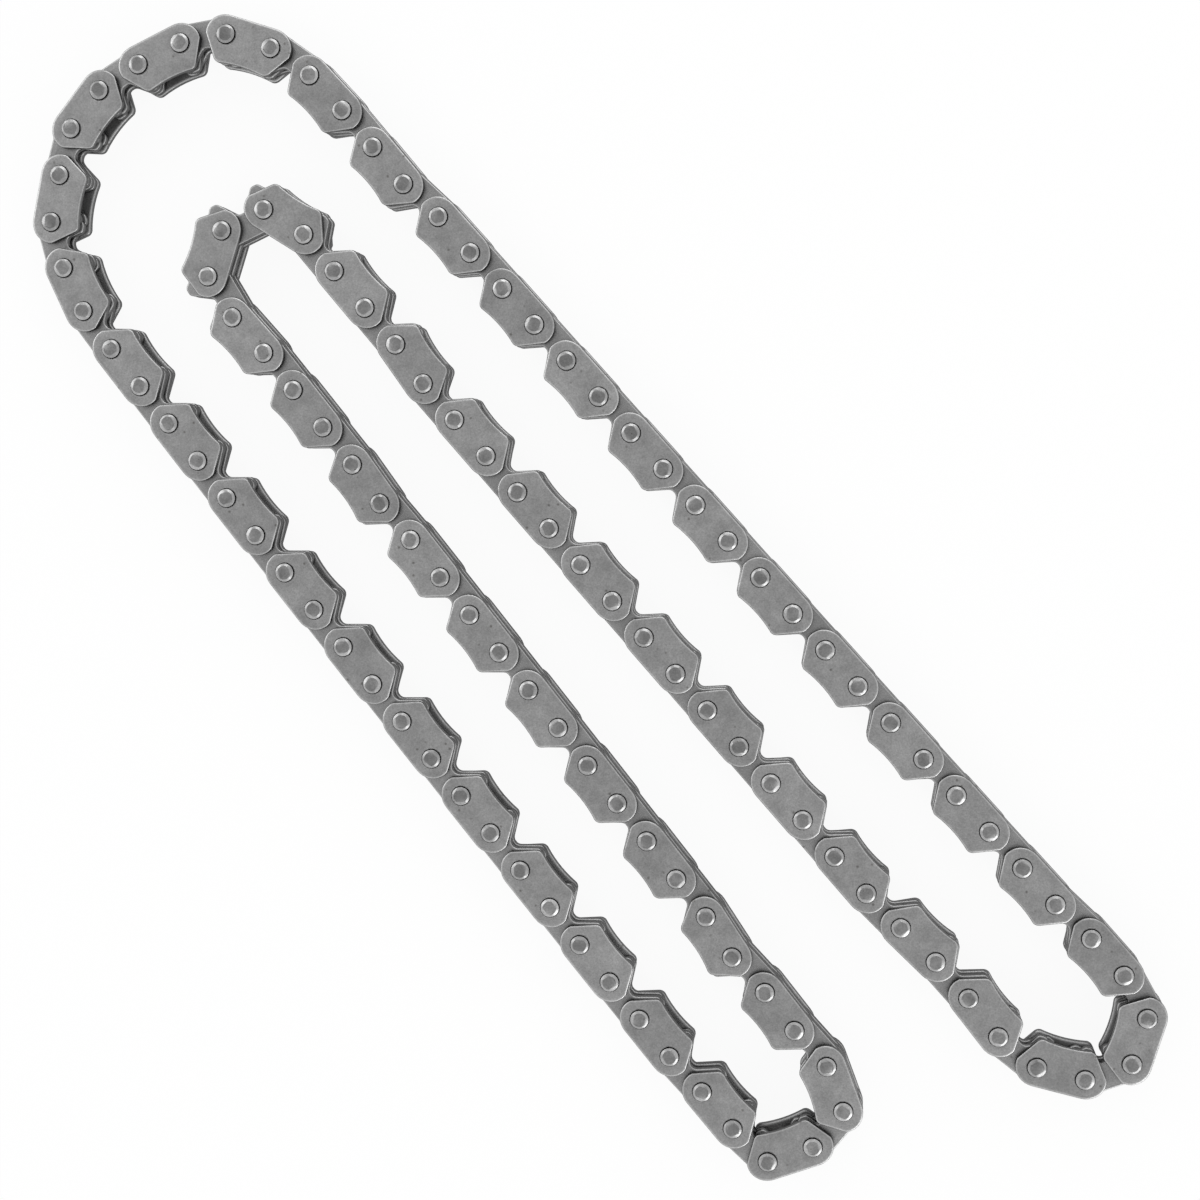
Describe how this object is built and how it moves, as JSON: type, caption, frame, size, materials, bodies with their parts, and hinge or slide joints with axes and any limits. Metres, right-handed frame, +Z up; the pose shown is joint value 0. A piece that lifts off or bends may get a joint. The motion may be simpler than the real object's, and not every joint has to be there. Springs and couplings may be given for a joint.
{
  "type": "timing chain",
  "caption": "Endless inverted-tooth engine timing chain: toothed plates laced between guide plates on staked pins, laid on its side and folded.",
  "frame": {"origin": "middle of the laid chain, on the plane that its lower pin ends rest on", "axes": "+Z up, along every pin; +X to the right and +Y away from the viewer as the chain lies in the picture"},
  "size_m": [0.1519, 0.1544, 0.0065],
  "materials": {
    "guide_plate_steel": "tumbled satin steel",
    "link_plate_steel": "darker tumbled satin steel",
    "pin_steel": "bright steel, ends staked"
  },
  "bodies": {
    "guide_row_108": {"guide_row_108": "guide_plate_steel"},
    "link_pack_109": {"link_pack_109": "link_plate_steel"},
    "guide_row_110": {"guide_row_110": "guide_plate_steel"},
    "link_pack_111": {"link_pack_111": "link_plate_steel"},
    "guide_row_000": {"guide_row_000": "guide_plate_steel"},
    "link_pack_001": {"link_pack_001": "link_plate_steel"},
    "run_002_006": {"run_002_006": "guide_plate_steel"},
    "link_pack_007": {"link_pack_007": "link_plate_steel"},
    "run_008_012": {"run_008_012": "guide_plate_steel"},
    "link_pack_013": {"link_pack_013": "link_plate_steel"},
    "run_014_018": {"run_014_018": "guide_plate_steel"},
    "link_pack_019": {"link_pack_019": "link_plate_steel"},
    "run_020_026": {"run_020_026": "guide_plate_steel"},
    "link_pack_027": {"link_pack_027": "link_plate_steel"},
    "guide_row_028": {"guide_row_028": "guide_plate_steel"},
    "link_pack_029": {"link_pack_029": "link_plate_steel"},
    "guide_row_030": {"guide_row_030": "guide_plate_steel"},
    "link_pack_031": {"link_pack_031": "link_plate_steel"},
    "run_032_036": {"run_032_036": "guide_plate_steel"},
    "link_pack_037": {"link_pack_037": "link_plate_steel"},
    "run_038_042": {"run_038_042": "guide_plate_steel"},
    "link_pack_043": {"link_pack_043": "link_plate_steel"},
    "run_044_048": {"run_044_048": "guide_plate_steel"},
    "link_pack_049": {"link_pack_049": "link_plate_steel"},
    "run_050_052": {"run_050_052": "guide_plate_steel"},
    "link_pack_053": {"link_pack_053": "link_plate_steel"},
    "guide_row_054": {"guide_row_054": "guide_plate_steel"},
    "link_row_055": {"link_plate_first_front": "link_plate_steel", "link_plate_first_back": "link_plate_steel"},
    "link_pack_107": {"link_pack_107": "link_plate_steel"},
    "guide_row_106": {"guide_row_106": "guide_plate_steel"},
    "link_pack_105": {"link_pack_105": "link_plate_steel"},
    "guide_row_104": {"guide_row_104": "guide_plate_steel"},
    "link_pack_103": {"link_pack_103": "link_plate_steel"},
    "run_100_102": {"run_100_102": "guide_plate_steel"},
    "link_pack_099": {"link_pack_099": "link_plate_steel"},
    "run_094_098": {"run_094_098": "guide_plate_steel"},
    "link_pack_093": {"link_pack_093": "link_plate_steel"},
    "run_088_092": {"run_088_092": "guide_plate_steel"},
    "link_pack_087": {"link_pack_087": "link_plate_steel"},
    "run_082_086": {"run_082_086": "guide_plate_steel"},
    "link_pack_081": {"link_pack_081": "link_plate_steel"},
    "guide_row_080": {"guide_row_080": "guide_plate_steel"},
    "link_pack_079": {"link_pack_079": "link_plate_steel"},
    "guide_row_078": {"guide_row_078": "guide_plate_steel"},
    "link_pack_077": {"link_pack_077": "link_plate_steel"},
    "guide_row_076": {"guide_row_076": "guide_plate_steel"},
    "link_pack_075": {"link_pack_075": "link_plate_steel"},
    "run_070_074": {"run_070_074": "guide_plate_steel"},
    "link_pack_069": {"link_pack_069": "link_plate_steel"},
    "run_064_068": {"run_064_068": "guide_plate_steel"},
    "link_pack_063": {"link_pack_063": "link_plate_steel"},
    "run_058_062": {"run_058_062": "guide_plate_steel"},
    "link_row_057": {"link_plate_second_front": "link_plate_steel", "link_plate_second_back": "link_plate_steel"},
    "guide_row_056": {"guide_plate_front": "guide_plate_steel", "guide_plate_back": "guide_plate_steel", "middle_plate": "link_plate_steel", "pin_first": "pin_steel", "pin_second": "pin_steel"}
  },
  "joints": [
    {"name": "pivot_109", "type": "hinge", "parent": "guide_row_108", "child": "link_pack_109", "pos_m": [-0.06637, 0.06723, 0.00325], "axis": [0, 0, 1], "range_deg": [-1.47, 1.47]},
    {"name": "pivot_110", "type": "hinge", "parent": "link_pack_109", "child": "guide_row_110", "pos_m": [-0.06097, 0.07057, 0.00325], "axis": [0, 0, 1], "range_deg": [-1.14, 1.14]},
    {"name": "pivot_111", "type": "hinge", "parent": "guide_row_110", "child": "link_pack_111", "pos_m": [-0.05524, 0.07331, 0.00325], "axis": [0, 0, 1], "range_deg": [-2.92, 2.92]},
    {"name": "pivot_000", "type": "hinge", "parent": "link_pack_111", "child": "guide_row_000", "pos_m": [-0.04898, 0.07436, 0.00325], "axis": [0, 0, 1], "range_deg": [-3.84, 3.84]},
    {"name": "top_bend_right", "type": "hinge", "parent": "guide_row_000", "child": "link_pack_001", "pos_m": [-0.04292, 0.07246, 0.00325], "axis": [0, 0, 1], "range_deg": [-2.02, 2.02]},
    {"name": "pivot_002", "type": "hinge", "parent": "link_pack_001", "child": "run_002_006", "pos_m": [-0.03769, 0.06886, 0.00325], "axis": [0, 0, 1], "range_deg": [-1.22, 1.22]},
    {"name": "pivot_007", "type": "hinge", "parent": "run_002_006", "child": "link_pack_007", "pos_m": [-0.01614, 0.04558, 0.00325], "axis": [0, 0, 1], "range_deg": [-0.6, 0.6]},
    {"name": "pivot_008", "type": "hinge", "parent": "link_pack_007", "child": "run_008_012", "pos_m": [-0.01186, 0.04089, 0.00325], "axis": [0, 0, 1], "range_deg": [-0.3504, 0.3504]},
    {"name": "pivot_013", "type": "hinge", "parent": "run_008_012", "child": "link_pack_013", "pos_m": [0.00954, 0.01744, 0.00325], "axis": [0, 0, 1], "range_deg": [-1.35, 1.08]},
    {"name": "pivot_014", "type": "hinge", "parent": "link_pack_013", "child": "run_014_018", "pos_m": [0.01382, 0.01275, 0.00325], "axis": [0, 0, 1], "range_deg": [-1.56, 1.25]},
    {"name": "right_lobe", "type": "hinge", "parent": "run_014_018", "child": "link_pack_019", "pos_m": [0.03528, -0.01065, 0.00325], "axis": [0, 0, 1], "range_deg": [-2.1, 1.68]},
    {"name": "pivot_020", "type": "hinge", "parent": "link_pack_019", "child": "run_020_026", "pos_m": [0.03958, -0.01532, 0.00325], "axis": [0, 0, 1], "range_deg": [-2.37, 1.89]},
    {"name": "pivot_027", "type": "hinge", "parent": "run_020_026", "child": "link_pack_027", "pos_m": [0.07007, -0.04765, 0.00325], "axis": [0, 0, 1], "range_deg": [-1.9, 2.38]},
    {"name": "pivot_028", "type": "hinge", "parent": "link_pack_027", "child": "guide_row_028", "pos_m": [0.07317, -0.05319, 0.00325], "axis": [0, 0, 1], "range_deg": [-4.4, 5.49]},
    {"name": "pivot_029", "type": "hinge", "parent": "guide_row_028", "child": "link_pack_029", "pos_m": [0.07134, -0.05927, 0.00325], "axis": [0, 0, 1], "range_deg": [-0.47, 0.59]},
    {"name": "pivot_030", "type": "hinge", "parent": "link_pack_029", "child": "guide_row_030", "pos_m": [0.06543, -0.06158, 0.00325], "axis": [0, 0, 1], "range_deg": [-1.63, 1.3]},
    {"name": "pivot_031", "type": "hinge", "parent": "guide_row_030", "child": "link_pack_031", "pos_m": [0.05923, -0.0602, 0.00325], "axis": [0, 0, 1], "range_deg": [-2.44, 1.95]},
    {"name": "pivot_032", "type": "hinge", "parent": "link_pack_031", "child": "run_032_036", "pos_m": [0.05419, -0.05633, 0.00325], "axis": [0, 0, 1], "range_deg": [-2.5, 2]},
    {"name": "pivot_037", "type": "hinge", "parent": "run_032_036", "child": "link_pack_037", "pos_m": [0.03256, -0.03315, 0.00325], "axis": [0, 0, 1], "range_deg": [-0.89, 0.72]},
    {"name": "pivot_038", "type": "hinge", "parent": "link_pack_037", "child": "run_038_042", "pos_m": [0.02834, -0.02841, 0.00325], "axis": [0, 0, 1], "range_deg": [-0.74, 0.59]},
    {"name": "pivot_043", "type": "hinge", "parent": "run_038_042", "child": "link_pack_043", "pos_m": [0.00719, -0.00472, 0.00325], "axis": [0, 0, 1], "range_deg": [-2.64, 3.3]},
    {"name": "pivot_044", "type": "hinge", "parent": "link_pack_043", "child": "run_044_048", "pos_m": [0.00296, 0.00001, 0.00325], "axis": [0, 0, 1], "range_deg": [-3.22, 4.03]},
    {"name": "pivot_049", "type": "hinge", "parent": "run_044_048", "child": "link_pack_049", "pos_m": [-0.01818, 0.0237, 0.00325], "axis": [0, 0, 1], "range_deg": [-2.47, 2.47]},
    {"name": "pivot_050", "type": "hinge", "parent": "link_pack_049", "child": "run_050_052", "pos_m": [-0.02241, 0.02844, 0.00325], "axis": [0, 0, 1], "range_deg": [-2.9, 2.9]},
    {"name": "pivot_053", "type": "hinge", "parent": "run_050_052", "child": "link_pack_053", "pos_m": [-0.03438, 0.04323, 0.00325], "axis": [0, 0, 1], "range_deg": [-3.6, 3.6]},
    {"name": "inner_fold", "type": "hinge", "parent": "link_pack_053", "child": "guide_row_054", "pos_m": [-0.03851, 0.04805, 0.00325], "axis": [0, 0, 1], "range_deg": [-7, 7]},
    {"name": "pivot_055", "type": "hinge", "parent": "guide_row_054", "child": "link_row_055", "pos_m": [-0.04393, 0.05137, 0.00325], "axis": [0, 0, 1], "range_deg": [-0.76, 0.76]},
    {"name": "pivot_108", "type": "hinge", "parent": "guide_row_108", "child": "link_pack_107", "pos_m": [-0.0703, 0.06225, 0.00325], "axis": [0, 0, 1], "range_deg": [-1.01, 1.01]},
    {"name": "pivot_107", "type": "hinge", "parent": "link_pack_107", "child": "guide_row_106", "pos_m": [-0.07196, 0.05612, 0.00325], "axis": [0, 0, 1], "range_deg": [-0.69, 0.69]},
    {"name": "top_bend_left", "type": "hinge", "parent": "guide_row_106", "child": "link_pack_105", "pos_m": [-0.07318, 0.04988, 0.00325], "axis": [0, 0, 1], "range_deg": [-3.09, 3.09]},
    {"name": "pivot_105", "type": "hinge", "parent": "link_pack_105", "child": "guide_row_104", "pos_m": [-0.07153, 0.04375, 0.00325], "axis": [0, 0, 1], "range_deg": [-3.86, 3.86]},
    {"name": "pivot_104", "type": "hinge", "parent": "guide_row_104", "child": "link_pack_103", "pos_m": [-0.06883, 0.03801, 0.00325], "axis": [0, 0, 1], "range_deg": [-1.47, 1.47]},
    {"name": "pivot_103", "type": "hinge", "parent": "link_pack_103", "child": "run_100_102", "pos_m": [-0.06498, 0.03295, 0.00325], "axis": [0, 0, 1], "range_deg": [-1.48, 1.48]},
    {"name": "pivot_100", "type": "hinge", "parent": "run_100_102", "child": "link_pack_099", "pos_m": [-0.05313, 0.01804, 0.00325], "axis": [0, 0, 1], "range_deg": [-1.18, 1.18]},
    {"name": "pivot_099", "type": "hinge", "parent": "link_pack_099", "child": "run_094_098", "pos_m": [-0.04916, 0.01308, 0.00325], "axis": [0, 0, 1], "range_deg": [-0.3962, 0.3962]},
    {"name": "pivot_094", "type": "hinge", "parent": "run_094_098", "child": "link_pack_093", "pos_m": [-0.02921, -0.01161, 0.00325], "axis": [0, 0, 1], "range_deg": [-0.52, 0.52]},
    {"name": "pivot_093", "type": "hinge", "parent": "link_pack_093", "child": "run_088_092", "pos_m": [-0.0252, -0.01654, 0.00325], "axis": [0, 0, 1], "range_deg": [-1.99, 1.99]},
    {"name": "pivot_088", "type": "hinge", "parent": "run_088_092", "child": "link_pack_087", "pos_m": [-0.00507, -0.04109, 0.00325], "axis": [0, 0, 1], "range_deg": [-2.68, 2.68]},
    {"name": "pivot_087", "type": "hinge", "parent": "link_pack_087", "child": "run_082_086", "pos_m": [-0.00103, -0.04599, 0.00325], "axis": [0, 0, 1], "range_deg": [-0.57, 0.57]},
    {"name": "pivot_082", "type": "hinge", "parent": "run_082_086", "child": "link_pack_081", "pos_m": [0.01964, -0.07008, 0.00325], "axis": [0, 0, 1], "range_deg": [-3.85, 3.85]},
    {"name": "pivot_081", "type": "hinge", "parent": "link_pack_081", "child": "guide_row_080", "pos_m": [0.02433, -0.07435, 0.00325], "axis": [0, 0, 1], "range_deg": [-0.4562, 0.4562]},
    {"name": "pivot_080", "type": "hinge", "parent": "guide_row_080", "child": "link_pack_079", "pos_m": [0.03027, -0.07211, 0.00325], "axis": [0, 0, 1], "range_deg": [-0.55, 0.55]},
    {"name": "left_lobe", "type": "hinge", "parent": "link_pack_079", "child": "guide_row_078", "pos_m": [0.0342, -0.06712, 0.00325], "axis": [0, 0, 1], "range_deg": [-1.95, 1.95]},
    {"name": "pivot_078", "type": "hinge", "parent": "guide_row_078", "child": "link_pack_077", "pos_m": [0.03196, -0.06118, 0.00325], "axis": [0, 0, 1], "range_deg": [-2.51, 2.51]},
    {"name": "pivot_077", "type": "hinge", "parent": "link_pack_077", "child": "guide_row_076", "pos_m": [0.02765, -0.05652, 0.00325], "axis": [0, 0, 1], "range_deg": [-0.51, 0.51]},
    {"name": "pivot_076", "type": "hinge", "parent": "guide_row_076", "child": "link_pack_075", "pos_m": [0.02368, -0.05156, 0.00325], "axis": [0, 0, 1], "range_deg": [-1.37, 1.37]},
    {"name": "pivot_075", "type": "hinge", "parent": "link_pack_075", "child": "run_070_074", "pos_m": [0.01929, -0.04697, 0.00325], "axis": [0, 0, 1], "range_deg": [-1.23, 1.23]},
    {"name": "pivot_070", "type": "hinge", "parent": "run_070_074", "child": "link_pack_069", "pos_m": [-0.00014, -0.02189, 0.00325], "axis": [0, 0, 1], "range_deg": [-0.9, 0.9]},
    {"name": "pivot_069", "type": "hinge", "parent": "link_pack_069", "child": "run_064_068", "pos_m": [-0.00412, -0.01694, 0.00325], "axis": [0, 0, 1], "range_deg": [-1.49, 1.49]},
    {"name": "pivot_064", "type": "hinge", "parent": "run_064_068", "child": "link_pack_063", "pos_m": [-0.02406, 0.00777, 0.00325], "axis": [0, 0, 1], "range_deg": [-0.71, 0.71]},
    {"name": "pivot_063", "type": "hinge", "parent": "link_pack_063", "child": "run_058_062", "pos_m": [-0.02822, 0.01256, 0.00325], "axis": [0, 0, 1], "range_deg": [-5.18, 5.18]},
    {"name": "pivot_058", "type": "hinge", "parent": "run_058_062", "child": "link_row_057", "pos_m": [-0.04827, 0.03716, 0.00325], "axis": [0, 0, 1], "range_deg": [-6.46, 6.46]},
    {"name": "pivot_057", "type": "hinge", "parent": "link_row_057", "child": "guide_row_056", "pos_m": [-0.05158, 0.04258, 0.00325], "axis": [0, 0, 1], "range_deg": [-0.74, 0.74]}
  ],
  "couplings": [
    {"joint": "pivot_109", "follows": "top_bend_right", "ratio": -0.66092},
    {"joint": "pivot_110", "follows": "top_bend_right", "ratio": 0.51377},
    {"joint": "pivot_111", "follows": "top_bend_right", "ratio": 1.3124},
    {"joint": "pivot_000", "follows": "top_bend_right", "ratio": -1.7294},
    {"joint": "pivot_002", "follows": "top_bend_right", "ratio": -0.54805},
    {"joint": "pivot_007", "follows": "top_bend_right", "ratio": 0.26993},
    {"joint": "pivot_008", "follows": "top_bend_right", "ratio": -0.15769},
    {"joint": "pivot_013", "follows": "right_lobe", "ratio": 0.58468},
    {"joint": "pivot_014", "follows": "right_lobe", "ratio": 0.67746},
    {"joint": "pivot_020", "follows": "right_lobe", "ratio": 1.0248},
    {"joint": "pivot_027", "follows": "right_lobe", "ratio": -1.0289},
    {"joint": "pivot_028", "follows": "right_lobe", "ratio": -2.3786},
    {"joint": "pivot_029", "follows": "right_lobe", "ratio": -0.25427},
    {"joint": "pivot_030", "follows": "right_lobe", "ratio": 0.70425},
    {"joint": "pivot_031", "follows": "right_lobe", "ratio": 1.0573},
    {"joint": "pivot_032", "follows": "right_lobe", "ratio": 1.081},
    {"joint": "pivot_037", "follows": "right_lobe", "ratio": 0.3873},
    {"joint": "pivot_038", "follows": "right_lobe", "ratio": 0.3185},
    {"joint": "pivot_043", "follows": "right_lobe", "ratio": -1.4291},
    {"joint": "pivot_044", "follows": "right_lobe", "ratio": -1.7445},
    {"joint": "pivot_049", "follows": "inner_fold", "ratio": -0.32141},
    {"joint": "pivot_050", "follows": "inner_fold", "ratio": -0.37682},
    {"joint": "pivot_053", "follows": "inner_fold", "ratio": -0.46733},
    {"joint": "pivot_055", "follows": "inner_fold", "ratio": 0.09901},
    {"joint": "pivot_108", "follows": "top_bend_left", "ratio": -0.29711},
    {"joint": "pivot_107", "follows": "top_bend_left", "ratio": 0.20267},
    {"joint": "pivot_105", "follows": "top_bend_left", "ratio": -1.1343},
    {"joint": "pivot_104", "follows": "top_bend_left", "ratio": 0.43306},
    {"joint": "pivot_103", "follows": "top_bend_left", "ratio": -0.43484},
    {"joint": "pivot_100", "follows": "top_bend_left", "ratio": 0.34709},
    {"joint": "pivot_099", "follows": "top_bend_left", "ratio": -0.11657},
    {"joint": "pivot_094", "follows": "left_lobe", "ratio": -0.24393},
    {"joint": "pivot_093", "follows": "left_lobe", "ratio": 0.9273},
    {"joint": "pivot_088", "follows": "left_lobe", "ratio": 1.251},
    {"joint": "pivot_087", "follows": "left_lobe", "ratio": -0.2666},
    {"joint": "pivot_082", "follows": "left_lobe", "ratio": -1.7935},
    {"joint": "pivot_081", "follows": "left_lobe", "ratio": -0.21267},
    {"joint": "pivot_080", "follows": "left_lobe", "ratio": 0.2557},
    {"joint": "pivot_078", "follows": "left_lobe", "ratio": 1.1698},
    {"joint": "pivot_077", "follows": "left_lobe", "ratio": 0.23967},
    {"joint": "pivot_076", "follows": "left_lobe", "ratio": -0.63972},
    {"joint": "pivot_075", "follows": "left_lobe", "ratio": -0.57195},
    {"joint": "pivot_070", "follows": "left_lobe", "ratio": -0.41946},
    {"joint": "pivot_069", "follows": "left_lobe", "ratio": -0.69559},
    {"joint": "pivot_064", "follows": "inner_fold", "ratio": -0.09195},
    {"joint": "pivot_063", "follows": "inner_fold", "ratio": -0.67334},
    {"joint": "pivot_058", "follows": "inner_fold", "ratio": 0.83852},
    {"joint": "pivot_057", "follows": "inner_fold", "ratio": 0.0967}
  ]
}
